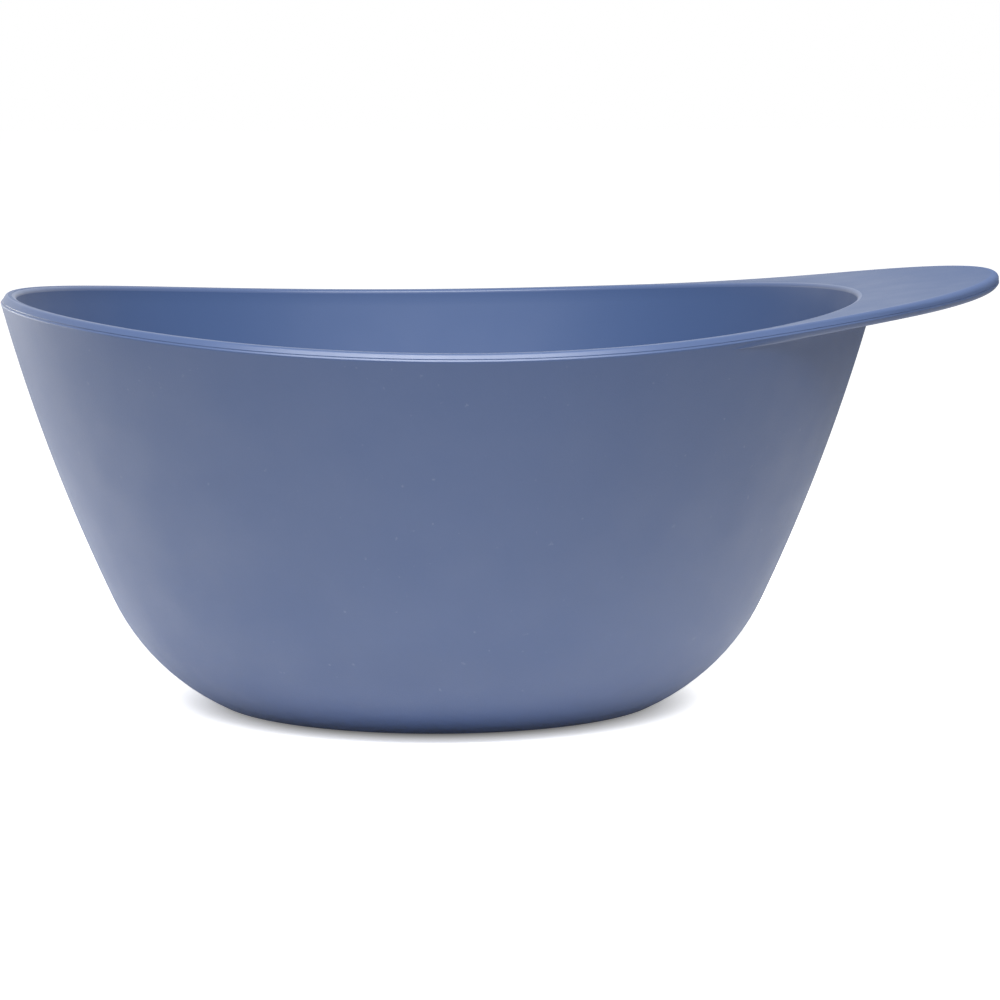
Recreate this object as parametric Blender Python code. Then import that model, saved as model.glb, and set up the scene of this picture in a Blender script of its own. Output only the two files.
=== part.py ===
"""Bowl for mixing hair colour: a moulded bowl with a thumb tab on its rim, standing on a rubber pad.

Metres, +Z up. The bowl's axis is the Z axis, the tab points along +X and the pad rests on Z = 0.
"""

import math

import bmesh
import bpy

MM = 0.001

# Plan of the rim and the tab, at the parting line
RIM_RADIUS = 65.0 * MM
TAB_REACH = 84.5 * MM
TAB_RADIUS = 40.0 * MM

# Side view: one shallow arc carries the rim and the top of the tab
RIM_HEIGHT = 57.8 * MM
SWEEP_RADIUS = 505.0 * MM

# Section of the rim and the tab
INNER_ROUND = 0.7 * MM
TOP_ROUND = 0.4 * MM
UPPER_BAND = 0.8 * MM
TIP_UPPER_BAND = 1.4 * MM
PARTING_LEDGE = 0.25 * MM
EDGE_THICKNESS = 2.05 * MM
LOWER_EDGE = 0.3 * MM
TAB_FILLET = 2.5 * MM

# Section of the wall and the base
WALL = 2.3 * MM
FLOOR = 2.2 * MM
FLOOR_FILLET = 15.0 * MM
WALL_BOW_RADIUS = 280.0 * MM
CORNER_RADIUS = 33.0 * MM
BASE_RADIUS = 32.8 * MM
BASE_EDGE_RADIUS = 1.5 * MM
BASE_EDGE_TURN = math.radians(26.0)

# Rubber pad in the recess under the base
PAD_RADIUS = 29.0 * MM
PAD_THICKNESS = 1.5 * MM
PAD_STANDS_PROUD = 0.5 * MM
PAD_ROUND = 0.3 * MM
PAD_CLEARANCE = 0.3 * MM
GROOVE_COUNT = 2
GROOVE_PITCH = 7.0 * MM
GROOVE_WIDTH = 1.6 * MM
GROOVE_DEPTH = 0.4 * MM
FIRST_GROOVE_RADIUS = 13.0 * MM

# Facets
BOWL_SEGMENTS = 96
PAD_SEGMENTS = 64
WALL_STEPS = 5
ARC_STEPS = 4
ROUND_STEPS = 3

# Heights and centres that follow from the sizes above
RECESS_TOP = PAD_THICKNESS + PAD_CLEARANCE
FLOOR_HEIGHT = RECESS_TOP + FLOOR
TAB_CENTRE = TAB_REACH - TAB_RADIUS
CORNER_START_R = BASE_RADIUS + BASE_EDGE_RADIUS * math.sin(BASE_EDGE_TURN)
CORNER_START_Z = PAD_STANDS_PROUD + BASE_EDGE_RADIUS * (1 - math.cos(BASE_EDGE_TURN))
CORNER_R = CORNER_START_R - CORNER_RADIUS * math.sin(BASE_EDGE_TURN)
CORNER_Z = CORNER_START_Z + CORNER_RADIUS * math.cos(BASE_EDGE_TURN)


def top_height(x):
    """Height of the rim and the tab, on their side-view arc."""
    return RIM_HEIGHT + SWEEP_RADIUS - math.sqrt(SWEEP_RADIUS**2 - x**2)


def parting_height(angle, radius):
    """Height of the parting line. The band above it grows from the bowl's middle to the tab's tip."""
    x = radius * math.cos(angle)
    return top_height(x) - UPPER_BAND - (TIP_UPPER_BAND - UPPER_BAND) * (x / TAB_REACH) ** 2


def lower_height(angle, radius):
    """Height of the lower edge of the rim and the tab."""
    return top_height(radius * math.cos(angle)) - EDGE_THICKNESS


class Wall:
    """The wall's arc at one angle: it runs on from the corner's arc and ends at the rim's parting line."""

    def __init__(self, angle):
        to_rim_r = RIM_RADIUS - CORNER_R
        to_rim_z = parting_height(angle, RIM_RADIUS) - CORNER_Z
        span = math.hypot(to_rim_r, to_rim_z)
        reach = WALL_BOW_RADIUS - CORNER_RADIUS
        along = (span**2 + reach**2 - WALL_BOW_RADIUS**2) / (2 * span)
        across = math.sqrt(reach**2 - along**2)
        self.r = CORNER_R + (along * to_rim_r - across * to_rim_z) / span
        self.z = CORNER_Z + (along * to_rim_z + across * to_rim_r) / span
        self.start = math.atan2(CORNER_R - self.r, self.z - CORNER_Z)

    def radius(self, height, inset=0.0):
        """Radius of the outer face at this height, or of a face this far inside it."""
        return self.r + math.sqrt((WALL_BOW_RADIUS - inset) ** 2 - (height - self.z) ** 2)


def outline(angle, inset=0.0):
    """Radius of the plan: the rim's circle and the tab's circle joined by their common tangents."""
    rim = RIM_RADIUS - inset
    tab = TAB_RADIUS - inset
    tangent = math.acos((rim - tab) / TAB_CENTRE)
    tab_side = math.atan2(tab * math.sin(tangent), TAB_CENTRE + tab * math.cos(tangent))
    turn = abs(math.remainder(angle, math.tau))
    if turn >= tangent:
        return rim
    if turn >= tab_side:
        return rim / math.cos(tangent - turn)
    return TAB_CENTRE * math.cos(turn) + math.sqrt(tab**2 - (TAB_CENTRE * math.sin(turn)) ** 2)


def steps(count):
    """Fractions from just after 0 up to 1."""
    return [(i + 1) / count for i in range(count)]


def arc(centre_r, centre_z, radius, start, end, count):
    """Section points on an arc, by the angle from straight down, without its first point."""
    points = []
    for t in steps(count):
        turn = start + t * (end - start)
        points.append((centre_r + radius * math.sin(turn), centre_z - radius * math.cos(turn)))
    return points


def inner_rim(angle, wall):
    """Radius and height where the inner wall reaches the swept top."""
    height = RIM_HEIGHT
    for _ in range(4):
        radius = wall.radius(height, WALL)
        height = top_height(radius * math.cos(angle))
    return radius, height


def inside_section(angle, wall):
    """From the floor's edge up the inner wall to the top face."""
    corner = CORNER_RADIUS - WALL
    drop = FLOOR_HEIGHT + FLOOR_FILLET - CORNER_Z
    fillet_r = CORNER_R + math.sqrt((corner - FLOOR_FILLET) ** 2 - drop**2)
    fillet_end = math.atan2(fillet_r - CORNER_R, -drop)
    points = [(fillet_r, FLOOR_HEIGHT)]
    points += arc(fillet_r, FLOOR_HEIGHT + FLOOR_FILLET, FLOOR_FILLET, 0.0, fillet_end, ARC_STEPS)
    points += arc(CORNER_R, CORNER_Z, corner, fillet_end, wall.start, ROUND_STEPS)
    start = points[-1][1]
    edge_r, edge_z = inner_rim(angle, wall)
    for t in steps(WALL_STEPS):
        height = start + t * (edge_z - INNER_ROUND - start)
        points.append((wall.radius(height, WALL), height))
    points.append((edge_r + INNER_ROUND, edge_z))
    return points


def edge_section(angle, wall):
    """Across the top face, round its edge and down both bands, with the parting ledge between them."""
    edge = outline(angle, TOP_ROUND + PARTING_LEDGE)
    edge_z = top_height(edge * math.cos(angle))
    reach = outline(angle)
    parting = parting_height(angle, reach)
    points = [(edge, edge_z)]
    for t in steps(ROUND_STEPS):
        turn = t * math.pi / 2
        inset = PARTING_LEDGE + TOP_ROUND * (1 - math.sin(turn))
        points.append((outline(angle, inset), edge_z - TOP_ROUND * (1 - math.cos(turn))))
    points += [(outline(angle, PARTING_LEDGE), parting), (reach, parting)]
    overhang = reach - RIM_RADIUS
    under_rim = lower_height(angle, RIM_RADIUS)
    points.append((wall.radius(under_rim) + overhang, lower_height(angle, reach)))
    return points


def underside_section(angle, wall):
    """Back under the tab to the wall. Where the tab has died away, the points lie on the wall."""
    overhang = outline(angle) - RIM_RADIUS
    leg = overhang * TAB_FILLET / (overhang + TAB_FILLET)
    root = lower_height(angle, RIM_RADIUS + leg) - LOWER_EDGE
    fall = LOWER_EDGE + leg
    points = [(wall.radius(root) + leg, root)]
    for t in steps(ROUND_STEPS):
        turn = t * math.pi / 2
        height = root - fall * (1 - math.cos(turn))
        points.append((wall.radius(height) + leg * (1 - math.sin(turn)), height))
    return points


def outside_section(start, wall):
    """From this height down the outer wall, round the corner and in to the pad's recess."""
    corner_top = CORNER_Z - CORNER_RADIUS * math.cos(wall.start)
    points = []
    for t in steps(WALL_STEPS):
        height = start + t * (corner_top - start)
        points.append((wall.radius(height), height))
    points += arc(CORNER_R, CORNER_Z, CORNER_RADIUS, wall.start, BASE_EDGE_TURN, ARC_STEPS)
    edge_z = PAD_STANDS_PROUD + BASE_EDGE_RADIUS
    points += arc(BASE_RADIUS, edge_z, BASE_EDGE_RADIUS, BASE_EDGE_TURN, 0.0, ROUND_STEPS)
    recess = PAD_RADIUS + PAD_CLEARANCE
    points.append((recess, PAD_STANDS_PROUD))
    points.append((recess, RECESS_TOP))
    return points


def bowl_section(angle):
    wall = Wall(angle)
    points = inside_section(angle, wall) + edge_section(angle, wall) + underside_section(angle, wall)
    return points + outside_section(points[-1][1], wall)


def pad_section(angle):
    """From the top edge round the side and across the grooved foot. The same at every angle."""
    points = [(PAD_RADIUS, PAD_THICKNESS)]
    points += [(PAD_RADIUS, PAD_ROUND), (PAD_RADIUS - PAD_ROUND, 0.0)]
    for i in reversed(range(GROOVE_COUNT)):
        middle = FIRST_GROOVE_RADIUS + i * GROOVE_PITCH
        outer = middle + GROOVE_WIDTH / 2
        inner = middle - GROOVE_WIDTH / 2
        points += [(outer, 0.0), (outer, GROOVE_DEPTH), (inner, GROOVE_DEPTH), (inner, 0.0)]
    return points


def loft(name, section, segments, material):
    """Solid through the section at each angle, closed at the axis by a fan at either end."""
    angles = [math.tau * i / segments for i in range(segments)]
    sections = [section(angle) for angle in angles]
    mesh = bmesh.new()
    rings = []
    for level in range(len(sections[0])):
        ring = []
        for angle, points in zip(angles, sections):
            radius, height = points[level]
            ring.append(mesh.verts.new((radius * math.cos(angle), radius * math.sin(angle), height)))
        rings.append(ring)
    for lower, upper in zip(rings, rings[1:]):
        for i in range(segments):
            j = (i + 1) % segments
            mesh.faces.new((lower[i], lower[j], upper[j], upper[i]))
    for ring in (rings[0], rings[-1]):
        middle = mesh.verts.new((0.0, 0.0, ring[0].co.z))
        for i in range(segments):
            mesh.faces.new((middle, ring[i], ring[(i + 1) % segments]))
    bmesh.ops.recalc_face_normals(mesh, faces=mesh.faces)
    data = bpy.data.meshes.new(name)
    mesh.to_mesh(data)
    mesh.free()
    data.shade_smooth()
    data.materials.append(material)
    part = bpy.data.objects.new(name, data)
    bpy.context.scene.collection.objects.link(part)
    return part


def plain_material(name, colour, roughness):
    material = bpy.data.materials.new(name)
    material.use_nodes = True
    shader = material.node_tree.nodes["Principled BSDF"]
    shader.inputs["Base Color"].default_value = (*colour, 1.0)
    shader.inputs["Roughness"].default_value = roughness
    shader.inputs["Metallic"].default_value = 0.0
    return material


def build():
    for old in list(bpy.data.objects):
        bpy.data.objects.remove(old)
    blue_plastic = plain_material("blue_plastic", (0.085, 0.133, 0.285), 0.5)
    dark_rubber = plain_material("dark_rubber", (0.02, 0.02, 0.022), 0.8)
    bowl = loft("bowl_shell", bowl_section, BOWL_SEGMENTS, blue_plastic)
    pad = loft("non_slip_pad", pad_section, PAD_SEGMENTS, dark_rubber)
    pad.parent = bowl


build()
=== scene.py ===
"""Looks of the hair colour bowl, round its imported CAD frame. Metres, in the frame's axes."""

import math

import bmesh
import bpy
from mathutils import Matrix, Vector


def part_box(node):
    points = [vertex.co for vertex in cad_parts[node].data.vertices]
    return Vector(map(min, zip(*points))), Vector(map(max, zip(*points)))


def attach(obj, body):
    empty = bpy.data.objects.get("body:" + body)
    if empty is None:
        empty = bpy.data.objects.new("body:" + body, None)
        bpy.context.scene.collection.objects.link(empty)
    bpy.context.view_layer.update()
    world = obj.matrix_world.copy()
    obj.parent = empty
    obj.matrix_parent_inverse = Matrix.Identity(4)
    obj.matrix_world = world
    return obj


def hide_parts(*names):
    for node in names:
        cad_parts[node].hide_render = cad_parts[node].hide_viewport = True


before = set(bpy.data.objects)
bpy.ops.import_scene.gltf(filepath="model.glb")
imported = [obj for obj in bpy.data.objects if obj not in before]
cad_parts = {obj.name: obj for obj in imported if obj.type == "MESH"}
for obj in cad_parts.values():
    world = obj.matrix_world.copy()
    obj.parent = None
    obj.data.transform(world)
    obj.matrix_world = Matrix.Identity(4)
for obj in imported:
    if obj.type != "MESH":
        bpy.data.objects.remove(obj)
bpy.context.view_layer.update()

MM = 0.001
BOWL_LOW, BOWL_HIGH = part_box("bowl_shell")
_, PAD_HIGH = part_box("non_slip_pad")

# Plan and side view of the rim and the tab
RIM_RADIUS = -BOWL_LOW[0]
TAB_REACH = BOWL_HIGH[0]
TAB_RADIUS = 40.0 * MM
TAB_CENTRE = TAB_REACH - TAB_RADIUS
RIM_HEIGHT = 57.8 * MM
SWEEP_RADIUS = 505.0 * MM

# Section of the rim and the tab. The lip's share is of the height below the parting line.
INNER_ROUND = 0.65 * MM
EDGE_ROUND = 0.5 * MM
TIP_ROUND = 0.8 * MM
EDGE_TILT = math.radians(32.0)
TAB_EDGE_TILT = math.radians(1.0)
TAB_EDGE_START = 8.0 * MM
UPPER_BAND = 0.8 * MM
TIP_UPPER_BAND = 1.4 * MM
PARTING_LEDGE = 0.25 * MM
TAB_PARTING_LEDGE = 0.08 * MM
PARTING_GROOVE = 0.15 * MM
LIP_SHARE = 0.19
EDGE_THICKNESS = 2.05 * MM
TIP_THICKNESS = 2.33 * MM
TIP_START = 55.0 * MM
FLARE_WIDTH = 0.75 * MM
FLARE_FADE = 0.06 * MM
FLARE_START = math.radians(40.0)
FLARE_END = math.radians(75.0)
TAB_FILLET = 0.4 * MM
TAB_FILLET_DROP = 0.02 * MM

# Section of the wall and the base
WALL = 2.3 * MM
FLOOR_HEIGHT = 4.0 * MM
FLOOR_FILLET = 15.0 * MM
WALL_BOW_RADIUS = 280.0 * MM
CORNER_RADIUS = 33.0 * MM
BASE_RADIUS = 32.8 * MM
BASE_HEIGHT = BOWL_LOW[2]
BASE_EDGE_RADIUS = 1.5 * MM
BASE_EDGE_TURN = math.radians(26.0)
CORNER_R = BASE_RADIUS - (CORNER_RADIUS - BASE_EDGE_RADIUS) * math.sin(BASE_EDGE_TURN)
CORNER_Z = BASE_HEIGHT + BASE_EDGE_RADIUS + (CORNER_RADIUS - BASE_EDGE_RADIUS) * math.cos(BASE_EDGE_TURN)

# Rubber pad
PAD_RADIUS = PAD_HIGH[0]
PAD_THICKNESS = PAD_HIGH[2]
PAD_CLEARANCE = 0.3 * MM
PAD_ROUND = 0.3 * MM
GROOVE_RADII = (20.0 * MM, 13.0 * MM)
GROOVE_WIDTH = 1.6 * MM
GROOVE_DEPTH = 0.4 * MM
PAD_SHARP_ANGLE = math.radians(35.0)

# Steps along straight stretches, close to both ends so that they stay flat in smooth shading
FLAT_STEPS = (0.1, 0.5, 0.9, 1.0)
TOP_STEPS = (0.02, 0.2, 0.4, 0.6, 0.8, 0.98)
UNDERSIDE_STEPS = (0.03, 0.35, 0.7, 1.0)
FLARE_FIRST_STEP = 0.02

# Skins, and the bowl's material slots
BOWL_SEGMENTS = 288
PAD_SEGMENTS = 128
MERGE_DISTANCE = 0.001 * MM
SETTLE_ROUNDS = 5
INSIDE = 0
TOP = 1
EDGE = 2
OUTSIDE = 3

# Finish of the plastic. Noise scales are features per metre.
CLOUD_SCALE = 35.0
CLOUD_TINT = 0.025
SPECK_SCALE = 900.0
SPECK_RANGE = (0.72, 0.80)
SPECK_COLOUR = (0.55, 0.58, 0.64)
GLOSS_SCALE = 120.0
GLOSS_SPREAD = 0.03
NOISE_MIDDLE = (0.3, 0.7)
GRAIN_SCALE = 4200.0
GRAIN_STRENGTH = 0.35

# Finish of the rubber
DUST_SCALE = 260.0
DUST_RANGE = (0.45, 0.75)
DUST_AMOUNT = 0.35
DUST_COLOUR = (0.07, 0.07, 0.075)
RUBBER_COLOUR = (0.018, 0.018, 0.02)
RUBBER_GLOSS_SCALE = 500.0
RUBBER_ROUGHNESS = (0.7, 0.9)
RUBBER_GRAIN_SCALE = 2600.0
RUBBER_GRAIN_STRENGTH = 0.5
RUBBER_GRAIN = 0.05 * MM

# White floor, with a painted pool of light round the bowl and painted shade round its base in the floor's
# glow in reflections. The fades are distances from the bowl's axis or from the painted pool's centre.
GROUND_HALF = 3.0
GROUND_HEIGHT = -0.05 * MM
SHADOW_FADE = (26.0 * MM, 43.0 * MM)
# Painted shade: distances over which the floor's glow in reflections fades in away from the bowl's base
PAINTED_BASE_SHADE_FADE = (29.0 * MM, 58.0 * MM)
# Painted pool of light: the floor is painted light near this centre and painted darker further away
PAINTED_POOL_CENTRE = (-30.0 * MM, 30.0 * MM, 0.0)
PAINTED_POOL_FADE = (100.0 * MM, 280.0 * MM)
PAINTED_POOL_COLOUR = (0.92, 0.92, 0.92)
PAINTED_DIM_FLOOR_COLOUR = (0.3, 0.3, 0.3)

# Lamps, in metres and watts
LAMP_AIM = (0.0, 0.0, 0.03)
KEY_PLACE = (-0.04, -0.6, 0.88)
KEY_SIZE = (1.3, 0.25)
KEY_WATTS = 17.0
STRIP_PLACE = (-0.4, 0.35, 0.03)
STRIP_SIZE = (0.35, 0.06)
STRIP_WATTS = 1.0

# Camera, at the photograph's angle
CAMERA_AZIMUTH = math.radians(-4.165)
CAMERA_DISTANCE = 600.0 * MM
CAMERA_HEIGHT = 102.9 * MM
AIM_RIGHT = 9.365 * MM
AIM_HEIGHT = 30.29 * MM
LENS_MM = 144.34
SENSOR_MM = 36.0


def top_height(x):
    """Height of the rim and the tab, on their side-view arc."""
    return RIM_HEIGHT + SWEEP_RADIUS - math.sqrt(SWEEP_RADIUS**2 - x**2)


def tip_share(x):
    """0 up to the root of the tab, rising to 1 at its tip."""
    return max(0.0, (x - TIP_START) / (TAB_REACH - TIP_START))


def parting_height(angle, radius):
    """Height of the parting line. The band above it grows from the bowl's middle to the tab's tip."""
    x = radius * math.cos(angle)
    return top_height(x) - UPPER_BAND - (TIP_UPPER_BAND - UPPER_BAND) * (x / TAB_REACH) ** 2


def lower_height(angle, radius):
    """Height of the lower edge of the rim and the tab."""
    x = radius * math.cos(angle)
    return top_height(x) - EDGE_THICKNESS - tip_share(x) * (TIP_THICKNESS - EDGE_THICKNESS)


class Wall:
    """The wall's arc at one angle: it runs on from the corner's arc and ends at the rim's parting line."""

    def __init__(self, angle):
        to_rim_r = RIM_RADIUS - CORNER_R
        to_rim_z = parting_height(angle, RIM_RADIUS) - CORNER_Z
        span = math.hypot(to_rim_r, to_rim_z)
        reach = WALL_BOW_RADIUS - CORNER_RADIUS
        along = (span**2 + reach**2 - WALL_BOW_RADIUS**2) / (2 * span)
        across = math.sqrt(reach**2 - along**2)
        self.r = CORNER_R + (along * to_rim_r - across * to_rim_z) / span
        self.z = CORNER_Z + (along * to_rim_z + across * to_rim_r) / span
        self.start = math.atan2(CORNER_R - self.r, self.z - CORNER_Z)

    def radius(self, height, inset=0.0):
        """Radius of the outer face at this height, or of a face this far inside it."""
        return self.r + math.sqrt((WALL_BOW_RADIUS - inset) ** 2 - (height - self.z) ** 2)


def outline(angle, inset=0.0):
    """Radius of the plan: the rim's circle and the tab's circle joined by their common tangents."""
    rim = RIM_RADIUS - inset
    tab = TAB_RADIUS - inset
    tangent = math.acos((rim - tab) / TAB_CENTRE)
    tab_side = math.atan2(tab * math.sin(tangent), TAB_CENTRE + tab * math.cos(tangent))
    turn = abs(math.remainder(angle, math.tau))
    if turn >= tangent:
        return rim
    if turn >= tab_side:
        return rim / math.cos(tangent - turn)
    return TAB_CENTRE * math.cos(turn) + math.sqrt(tab**2 - (TAB_CENTRE * math.sin(turn)) ** 2)


def steps(count):
    """Fractions from just after 0 up to 1."""
    return [(i + 1) / count for i in range(count)]


def arc(centre_r, centre_z, radius, start, end, count):
    """Section points on an arc, by the angle from straight down, without its first point."""
    points = []
    for t in steps(count):
        turn = start + t * (end - start)
        points.append((centre_r + radius * math.sin(turn), centre_z - radius * math.cos(turn)))
    return points


def inside_section(angle, wall):
    """Across the floor and up the inner wall to the start of its rounded edge."""
    corner = CORNER_RADIUS - WALL
    drop = FLOOR_HEIGHT + FLOOR_FILLET - CORNER_Z
    fillet_r = CORNER_R + math.sqrt((corner - FLOOR_FILLET) ** 2 - drop**2)
    fillet_end = math.atan2(fillet_r - CORNER_R, -drop)
    points = [(fillet_r * t, FLOOR_HEIGHT) for t in steps(4)]
    points += arc(fillet_r, FLOOR_HEIGHT + FLOOR_FILLET, FLOOR_FILLET, 0.0, fillet_end, 8)
    points += arc(CORNER_R, CORNER_Z, corner, fillet_end, wall.start, 6)
    edge_z = RIM_HEIGHT
    for _ in range(SETTLE_ROUNDS):
        edge_r = wall.radius(edge_z, WALL)
        edge_z = top_height(edge_r * math.cos(angle))
    start = points[-1][1]
    for t in steps(20):
        height = start + t * (edge_z - INNER_ROUND - start)
        points.append((wall.radius(height, WALL), height))
    return points


def inner_edge_section(foot):
    """Over the rounded inner edge on to the top face."""
    foot_r, foot_z = foot
    points = []
    for t in steps(8):
        turn = t * math.pi / 2
        points.append((foot_r + INNER_ROUND * (1 - math.cos(turn)), foot_z + INNER_ROUND * math.sin(turn)))
    return points


def on_tab(angle):
    """0 on the bowl's own rim, rising to 1 on the tab."""
    return min(1.0, (outline(angle) - RIM_RADIUS) / TAB_EDGE_START)


def parting_ledge(angle):
    """How far the upper band stands back from the lip."""
    return PARTING_LEDGE + on_tab(angle) * (TAB_PARTING_LEDGE - PARTING_LEDGE)


def edge_tilt(angle):
    """How far the upper band and the lip's bevel lean in."""
    return EDGE_TILT + on_tab(angle) * (TAB_EDGE_TILT - EDGE_TILT)


def edge_round(angle):
    """Radius of the top face's outer edge, which grows towards the tab's tip."""
    return EDGE_ROUND + tip_share(outline(angle) * math.cos(angle)) * (TIP_ROUND - EDGE_ROUND)


def outer_edge_section(angle):
    """Round the top face's outer edge and down the upper band."""
    reach = outline(angle)
    rounding = edge_round(angle)
    ledge = parting_ledge(angle)
    tilt = edge_tilt(angle)
    band_end = parting_height(angle, reach) + PARTING_GROOVE / 2
    inset = ledge
    for _ in range(SETTLE_ROUNDS):
        top = top_height(outline(angle, inset) * math.cos(angle))
        straight = top - rounding * (1 - math.sin(tilt)) - band_end
        inset = ledge + rounding * math.cos(tilt) + straight * math.tan(tilt)
    points = []
    for t in [0.0] + steps(8):
        turn = t * (math.pi / 2 - tilt)
        height = top - rounding * (1 - math.cos(turn))
        points.append((outline(angle, inset - rounding * math.sin(turn)), height))
    start_r, start_z = points[-1]
    end_r = outline(angle, ledge)
    for t in FLAT_STEPS:
        points.append((start_r + t * (end_r - start_r), start_z + t * (band_end - start_z)))
    return points


def top_section(angle, inner_edge, outer_edge):
    """Across the top face from its inner edge to its outer edge."""
    start_r, start_z = inner_edge
    end_r, end_z = outer_edge
    points = []
    for t in TOP_STEPS:
        radius = start_r + t * (end_r - start_r)
        height = max(top_height(radius * math.cos(angle)), start_z + t * (end_z - start_z))
        points.append((radius, height))
    return points


def lip_height(angle):
    """Height of the lip's bevel, a share of the height below the parting line."""
    reach = outline(angle)
    return LIP_SHARE * (parting_height(angle, reach) - lower_height(angle, reach))


def flare_size(angle):
    """Width and height of the flare below the lip, which dies away with the tab."""
    reach = outline(angle)
    overhang = reach - RIM_RADIUS
    height = (1 - LIP_SHARE) * (parting_height(angle, reach) - lower_height(angle, reach))
    width = overhang * FLARE_WIDTH / (overhang + FLARE_WIDTH)
    return width, height * overhang / (overhang + FLARE_FADE)


def lip_section(angle, wall):
    """From the parting groove out over the lip and down its bevel."""
    overhang = outline(angle) - RIM_RADIUS
    parting = parting_height(angle, outline(angle))
    parting_at_wall = parting_height(angle, RIM_RADIUS)
    height = lip_height(angle)
    width = height * math.tan(edge_tilt(angle))
    end_r = wall.radius(parting_at_wall - height) + overhang
    points = [(outline(angle, parting_ledge(angle) + PARTING_GROOVE), parting)]
    for t in (0.0, *FLAT_STEPS):
        points.append((end_r - (1 - t) * width, parting - t * height))
    return points


def lower_band_section(angle, wall):
    """From the lip down to the start of the flare."""
    reach = outline(angle)
    overhang = reach - RIM_RADIUS
    start = parting_height(angle, reach) - lip_height(angle)
    start_at_wall = parting_height(angle, RIM_RADIUS) - lip_height(angle)
    end = lower_height(angle, reach) + flare_size(angle)[1]
    points = []
    for t in steps(4):
        drop = t * (start - end)
        points.append((wall.radius(start_at_wall - drop) + overhang, start - drop))
    return points


def flare_section(angle, start):
    """Down the flare, a shallow arc that faces outward and down, to the tab's lower edge."""
    start_r, start_z = start
    width, height = flare_size(angle)
    across = math.cos(FLARE_START) - math.cos(FLARE_END)
    down = math.sin(FLARE_END) - math.sin(FLARE_START)
    points = []
    for t in [FLARE_FIRST_STEP] + steps(8):
        turn = FLARE_START + t * (FLARE_END - FLARE_START)
        inward = width * (math.cos(FLARE_START) - math.cos(turn)) / across
        drop = height * (math.sin(turn) - math.sin(FLARE_START)) / down
        points.append((start_r - inward, start_z - drop))
    return points


def underside_section(angle, wall, start):
    """Back under the tab to the wall. Where the tab has died away, the points lie on the wall."""
    start_r, start_z = start
    overhang = outline(angle) - RIM_RADIUS
    leg = overhang * TAB_FILLET / (overhang + TAB_FILLET)
    root = lower_height(angle, RIM_RADIUS + leg)
    root_r = wall.radius(root) + leg
    points = []
    for t in UNDERSIDE_STEPS:
        points.append((start_r + t * (root_r - start_r), start_z + t * (root - start_z)))
    for t in steps(6):
        turn = t * math.pi / 2
        height = root - leg * (1 - math.cos(turn)) - t * TAB_FILLET_DROP
        points.append((wall.radius(height) + leg * (1 - math.sin(turn)), height))
    return points


def outside_section(start, wall):
    """From this height down the outer wall, round the corner and in to the pad's recess."""
    corner_top = CORNER_Z - CORNER_RADIUS * math.cos(wall.start)
    points = []
    for t in steps(20):
        height = start + t * (corner_top - start)
        points.append((wall.radius(height), height))
    points += arc(CORNER_R, CORNER_Z, CORNER_RADIUS, wall.start, BASE_EDGE_TURN, 12)
    points += arc(BASE_RADIUS, BASE_HEIGHT + BASE_EDGE_RADIUS, BASE_EDGE_RADIUS, BASE_EDGE_TURN, 0.0, 5)
    recess = PAD_RADIUS + PAD_CLEARANCE
    recess_top = PAD_THICKNESS + PAD_CLEARANCE
    points += [(recess + PAD_ROUND, BASE_HEIGHT), (recess, BASE_HEIGHT + PAD_ROUND), (recess, recess_top)]
    return points


def bowl_section(angle):
    """Section points, each with the material slot of the band that ends there."""
    wall = Wall(angle)
    inside = inside_section(angle, wall)
    inner_edge = inner_edge_section(inside[-1])
    outer_edge = outer_edge_section(angle)
    top = top_section(angle, inner_edge[-1], outer_edge[0])
    lower_band = lower_band_section(angle, wall)
    flare = flare_section(angle, lower_band[-1])
    under = underside_section(angle, wall, flare[-1])
    bands = (
        (INSIDE, inside),
        (EDGE, inner_edge),
        (TOP, top),
        (EDGE, outer_edge + lip_section(angle, wall)),
        (OUTSIDE, lower_band + flare + under + outside_section(under[-1][1], wall)),
    )
    return [(r, z, slot) for slot, section in bands for r, z in section]


def pad_section(angle):
    """From the top edge round the side and across the grooved foot. The same at every angle."""
    points = [(PAD_RADIUS - PAD_ROUND, PAD_THICKNESS), (PAD_RADIUS, PAD_THICKNESS - PAD_ROUND)]
    points += [(PAD_RADIUS, PAD_ROUND), (PAD_RADIUS - PAD_ROUND, 0.0)]
    for middle in GROOVE_RADII:
        outer = middle + GROOVE_WIDTH / 2
        inner = middle - GROOVE_WIDTH / 2
        points += [(outer, 0.0), (outer, GROOVE_DEPTH), (inner, GROOVE_DEPTH), (inner, 0.0)]
    return [(r, z, 0) for r, z in points]


def loft(name, section, segments, materials):
    """Closed skin through the section at each angle, with a fan at either end on the axis."""
    angles = [math.tau * i / segments for i in range(segments)]
    sections = [section(angle) for angle in angles]
    mesh = bmesh.new()
    rings = []
    for level in range(len(sections[0])):
        ring = []
        for angle, points in zip(angles, sections):
            radius, height, _ = points[level]
            ring.append(mesh.verts.new((radius * math.cos(angle), radius * math.sin(angle), height)))
        rings.append(ring)
    for level in range(1, len(rings)):
        lower = rings[level - 1]
        upper = rings[level]
        for i in range(segments):
            j = (i + 1) % segments
            face = mesh.faces.new((lower[i], lower[j], upper[j], upper[i]))
            face.material_index = sections[0][level][2]
    for level in (0, -1):
        ring = rings[level]
        middle = mesh.verts.new((0.0, 0.0, ring[0].co.z))
        for i in range(segments):
            face = mesh.faces.new((middle, ring[i], ring[(i + 1) % segments]))
            face.material_index = sections[0][level][2]
    bmesh.ops.remove_doubles(mesh, verts=mesh.verts, dist=MERGE_DISTANCE)
    bmesh.ops.recalc_face_normals(mesh, faces=mesh.faces)
    data = bpy.data.meshes.new(name)
    mesh.to_mesh(data)
    mesh.free()
    data.shade_smooth()
    for material in materials:
        data.materials.append(material)
    piece = bpy.data.objects.new(name, data)
    bpy.context.scene.collection.objects.link(piece)
    return piece


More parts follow.
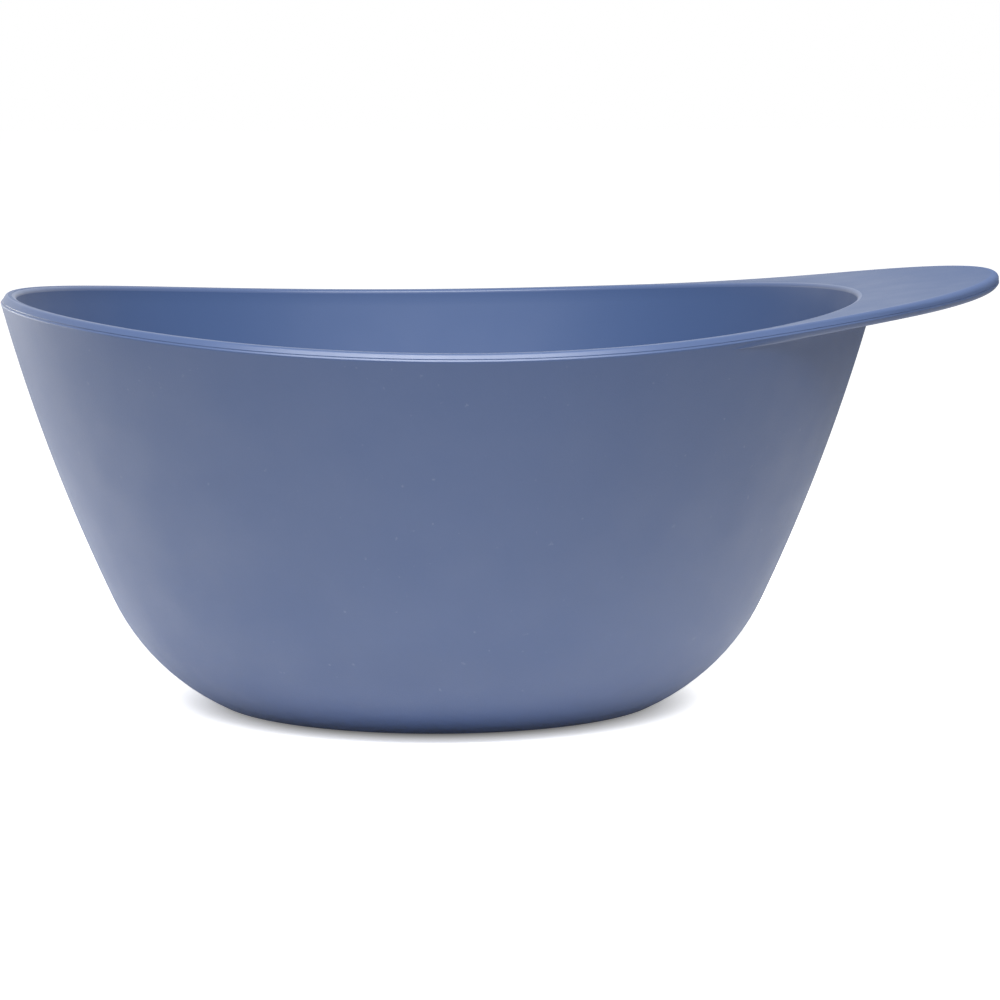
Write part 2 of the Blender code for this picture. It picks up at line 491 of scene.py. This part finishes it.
class Nodes:
    """Short ways to add and join the nodes of a material or a world."""

    # Sockets of a colour mix, which have the same names for every data type
    MIX_FACTOR = 0
    MIX_FIRST = 6
    MIX_SECOND = 7
    MIX_RESULT = 2

    def __init__(self, owner):
        owner.use_nodes = True
        self.tree = owner.node_tree

    def __getitem__(self, name):
        return self.tree.nodes[name]

    def add(self, kind, **values):
        node = self.tree.nodes.new(kind)
        for key, value in values.items():
            if key in node.inputs:
                node.inputs[key].default_value = value
            else:
                setattr(node, key, value)
        return node

    def join(self, source, output, target, field):
        self.tree.links.new(source.outputs[output], target.inputs[field])

    def noise(self, scale, detail):
        """Noise by place on the object, at this many features per metre."""
        texture = self.add("ShaderNodeTexNoise", Scale=scale, Detail=detail)
        self.join(self.add("ShaderNodeTexCoord"), "Object", texture, "Vector")
        return texture

    def ramp(self, source, output, low, high, start, end):
        """Maps a value from low..high to start..end, held at both ends."""
        spread = self.add("ShaderNodeMapRange")
        for index, value in enumerate((low, high, start, end)):
            spread.inputs[index + 1].default_value = value
        self.join(source, output, spread, 0)
        return spread

    def blend(self, factor, output, first, second):
        """Colour between two, each a colour or a node made by blend, by a node's factor."""
        mix = self.add("ShaderNodeMix", data_type="RGBA")
        self.join(factor, output, mix, self.MIX_FACTOR)
        for socket, colour in ((self.MIX_FIRST, first), (self.MIX_SECOND, second)):
            if isinstance(colour, tuple):
                mix.inputs[socket].default_value = (*colour, 1.0)
            else:
                self.join(colour, self.MIX_RESULT, mix, socket)
        return mix

    def colour(self, mix, shader):
        """Gives a shader the colour of a node made by blend."""
        self.join(mix, self.MIX_RESULT, shader, "Base Color")

    def grain(self, shader, scale, strength, height):
        """Fine bumps of this height."""
        bump = self.add("ShaderNodeBump", Strength=strength, Distance=height)
        self.join(self.noise(scale, 3.0), "Fac", bump, "Height")
        self.join(bump, "Normal", shader, "Normal")

    def distance(self, source, output, point):
        """How far a place is from a point."""
        length = self.add("ShaderNodeVectorMath", operation="DISTANCE")
        self.join(source, output, length, 0)
        length.inputs[1].default_value = point
        return length

    def maths(self, operation, first, first_output, second, second_output):
        result = self.add("ShaderNodeMath", operation=operation)
        self.join(first, first_output, result, 0)
        self.join(second, second_output, result, 1)
        return result

    def multiply(self, first, first_output, second, second_output):
        return self.maths("MULTIPLY", first, first_output, second, second_output)

    def maximum(self, first, first_output, second, second_output):
        return self.maths("MAXIMUM", first, first_output, second, second_output)

    def seen_as_backdrop(self):
        """1 for rays from the camera, a reflection or a clear surface, 0 for those that light things."""
        path = self.add("ShaderNodeLightPath")
        glossy = self.maximum(path, "Is Camera Ray", path, "Is Glossy Ray")
        return self.maximum(glossy, 0, path, "Is Transmission Ray")


def moulded_plastic(name, colour, roughness, specular, grain_height, speck_tint=0.0, tip_wear=0.0):
    """Moulded plastic: fine grain, faint clouding of colour and gloss, and sparse pale specks.

    tip_wear is what is added to the roughness at the tab's tip, fading to nothing at its root.
    """
    material = bpy.data.materials.new(name)
    n = Nodes(material)
    shader = n["Principled BSDF"]
    shader.inputs["Specular IOR Level"].default_value = specular
    darker = tuple(c * (1 - CLOUD_TINT) for c in colour)
    lighter = tuple(c * (1 + CLOUD_TINT) for c in colour)
    clouded = n.blend(n.noise(CLOUD_SCALE, 3.0), "Fac", darker, lighter)
    specks = n.ramp(n.noise(SPECK_SCALE, 2.0), "Fac", *SPECK_RANGE, 0.0, speck_tint)
    n.colour(n.blend(specks, 0, clouded, SPECK_COLOUR), shader)
    smoother = roughness - GLOSS_SPREAD
    rougher = roughness + GLOSS_SPREAD
    gloss = n.ramp(n.noise(GLOSS_SCALE, 4.0), "Fac", *NOISE_MIDDLE, smoother, rougher)
    place = n.add("ShaderNodeSeparateXYZ")
    n.join(n.add("ShaderNodeTexCoord"), "Object", place, "Vector")
    wear = n.ramp(place, "X", RIM_RADIUS, TAB_REACH, 0.0, tip_wear)
    n.join(n.maths("ADD", gloss, 0, wear, 0), 0, shader, "Roughness")
    n.grain(shader, GRAIN_SCALE, GRAIN_STRENGTH, grain_height)
    return material


def grippy_rubber(name):
    """Dark rubber with a fine matte grain and a little dust."""
    material = bpy.data.materials.new(name)
    n = Nodes(material)
    shader = n["Principled BSDF"]
    dust = n.ramp(n.noise(DUST_SCALE, 4.0), "Fac", *DUST_RANGE, 0.0, DUST_AMOUNT)
    n.colour(n.blend(dust, 0, RUBBER_COLOUR, DUST_COLOUR), shader)
    gloss = n.ramp(n.noise(RUBBER_GLOSS_SCALE, 3.0), "Fac", *NOISE_MIDDLE, *RUBBER_ROUGHNESS)
    n.join(gloss, 0, shader, "Roughness")
    n.grain(shader, RUBBER_GRAIN_SCALE, RUBBER_GRAIN_STRENGTH, RUBBER_GRAIN)
    return material


def dress_bowl():
    inside = moulded_plastic(
        "satin_blue_plastic",
        colour=(0.060, 0.109, 0.250),
        roughness=0.50,
        specular=0.34,
        grain_height=0.02 * MM,
    )
    top = moulded_plastic(
        "grained_blue_plastic",
        colour=(0.070, 0.116, 0.246),
        roughness=0.45,
        specular=0.32,
        grain_height=0.04 * MM,
        speck_tint=0.05,
        tip_wear=0.15,
    )
    edge = moulded_plastic(
        "smooth_blue_plastic",
        colour=(0.078, 0.130, 0.285),
        roughness=0.36,
        specular=0.58,
        grain_height=0.02 * MM,
        tip_wear=0.4,
    )
    outside = moulded_plastic(
        "matte_blue_plastic",
        colour=(0.047, 0.088, 0.215),
        roughness=0.51,
        specular=0.86,
        grain_height=0.08 * MM,
        speck_tint=0.08,
    )
    bowl = loft("bowl", bowl_section, BOWL_SEGMENTS, (inside, top, edge, outside))
    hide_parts("bowl_shell")
    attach(bowl, "root")


def dress_pad():
    pad = loft("grip_pad", pad_section, PAD_SEGMENTS, (grippy_rubber("matte_rubber"),))
    pad.data.set_sharp_from_angle(angle=PAD_SHARP_ANGLE)
    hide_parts("non_slip_pad")
    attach(pad, "root")


def white_floor():
    """Pale floor that looks white, apart from the bowl's soft shadow. From below it is clear.

    Its colour, and its glow in reflections, are lightened in a painted pool of light round the bowl, and
    its glow in reflections fades into painted shade next to the bowl's base.
    """
    material = bpy.data.materials.new("white_floor")
    n = Nodes(material)
    shader = n["Principled BSDF"]
    shader.inputs["Roughness"].default_value = 1.0
    shader.inputs["Specular IOR Level"].default_value = 0.0
    shader.inputs["Emission Color"].default_value = (1.0, 1.0, 1.0, 1.0)
    place = n.add("ShaderNodeNewGeometry")
    from_axis = n.distance(place, "Position", (0.0, 0.0, 0.0))
    # Painted shade: the floor's glow in reflections fades out towards the bowl's base, so the bowl's lower
    # edge mirrors a darker floor there
    clear_of_painted_base_shade = n.ramp(from_axis, "Value", *PAINTED_BASE_SHADE_FADE, 0.0, 1.0)
    clear_of_shadow = n.ramp(from_axis, "Value", *SHADOW_FADE, 0.0, 1.0)
    clear_of_shadow.interpolation_type = "SMOOTHSTEP"
    # Painted pool of light: the floor's colour, and its glow in reflections, are lightest round a point
    # left of and behind the bowl and darker further away
    painted_light_pool = n.ramp(n.distance(place, "Position", PAINTED_POOL_CENTRE), "Value", *PAINTED_POOL_FADE, 1.0, 0.0)
    n.colour(n.blend(painted_light_pool, 0, PAINTED_DIM_FLOOR_COLOUR, PAINTED_POOL_COLOUR), shader)
    path = n.add("ShaderNodeLightPath")
    mirrored_glow_with_painted_light = n.multiply(path, "Is Glossy Ray", n.multiply(painted_light_pool, 0, clear_of_painted_base_shade, 0), 0)
    watched = n.multiply(path, "Is Camera Ray", clear_of_shadow, 0)
    n.join(n.maximum(mirrored_glow_with_painted_light, 0, watched, 0), 0, shader, "Emission Strength")
    one_sided = n.add("ShaderNodeMixShader")
    n.join(place, "Backfacing", one_sided, 0)
    n.join(shader, 0, one_sided, 1)
    n.join(n.add("ShaderNodeBsdfTransparent"), 0, one_sided, 2)
    n.join(one_sided, 0, n["Material Output"], "Surface")
    return material


def lay_floor():
    sides = ((-1, -1), (1, -1), (1, 1), (-1, 1))
    corners = [(x * GROUND_HALF, y * GROUND_HALF, GROUND_HEIGHT) for x, y in sides]
    mesh = bpy.data.meshes.new("floor")
    mesh.from_pydata(corners, [], [(0, 1, 2, 3)])
    mesh.materials.append(white_floor())
    floor = bpy.data.objects.new("floor", mesh)
    bpy.context.scene.collection.objects.link(floor)


def soft_lamp(name, place, size, watts):
    """Rectangular softbox aimed at the bowl's middle."""
    lamp = bpy.data.lights.new(name, "AREA")
    lamp.shape = "RECTANGLE"
    lamp.size, lamp.size_y = size
    lamp.energy = watts
    holder = bpy.data.objects.new(name, lamp)
    holder.location = place
    holder.rotation_euler = (Vector(LAMP_AIM) - Vector(place)).to_track_quat("-Z", "Y").to_euler()
    bpy.context.scene.collection.objects.link(holder)


def light_studio():
    """Two softboxes, and a white world that only the camera, reflections and clear surfaces see."""
    soft_lamp("key_softbox", KEY_PLACE, KEY_SIZE, KEY_WATTS)
    soft_lamp("back_left_strip", STRIP_PLACE, STRIP_SIZE, STRIP_WATTS)
    world = bpy.data.worlds.new("studio")
    n = Nodes(world)
    background = n["Background"]
    background.inputs["Color"].default_value = (1.0, 1.0, 1.0, 1.0)
    n.join(n.seen_as_backdrop(), 0, background, "Strength")
    bpy.context.scene.world = world


def place_camera():
    right = Vector((math.cos(CAMERA_AZIMUTH), math.sin(CAMERA_AZIMUTH), 0.0))
    away = Vector((-math.sin(CAMERA_AZIMUTH), math.cos(CAMERA_AZIMUTH), 0.0))
    lens = bpy.data.cameras.new("camera")
    lens.lens = LENS_MM
    lens.sensor_width = SENSOR_MM
    holder = bpy.data.objects.new("camera", lens)
    holder.location = -CAMERA_DISTANCE * away + Vector((0.0, 0.0, CAMERA_HEIGHT))
    aim = AIM_RIGHT * right + Vector((0.0, 0.0, AIM_HEIGHT))
    holder.rotation_euler = (aim - holder.location).to_track_quat("-Z", "Y").to_euler()
    bpy.context.scene.collection.objects.link(holder)
    bpy.context.scene.camera = holder


bpy.context.scene.view_settings.view_transform = "Standard"
dress_bowl()
dress_pad()
lay_floor()
light_studio()
place_camera()
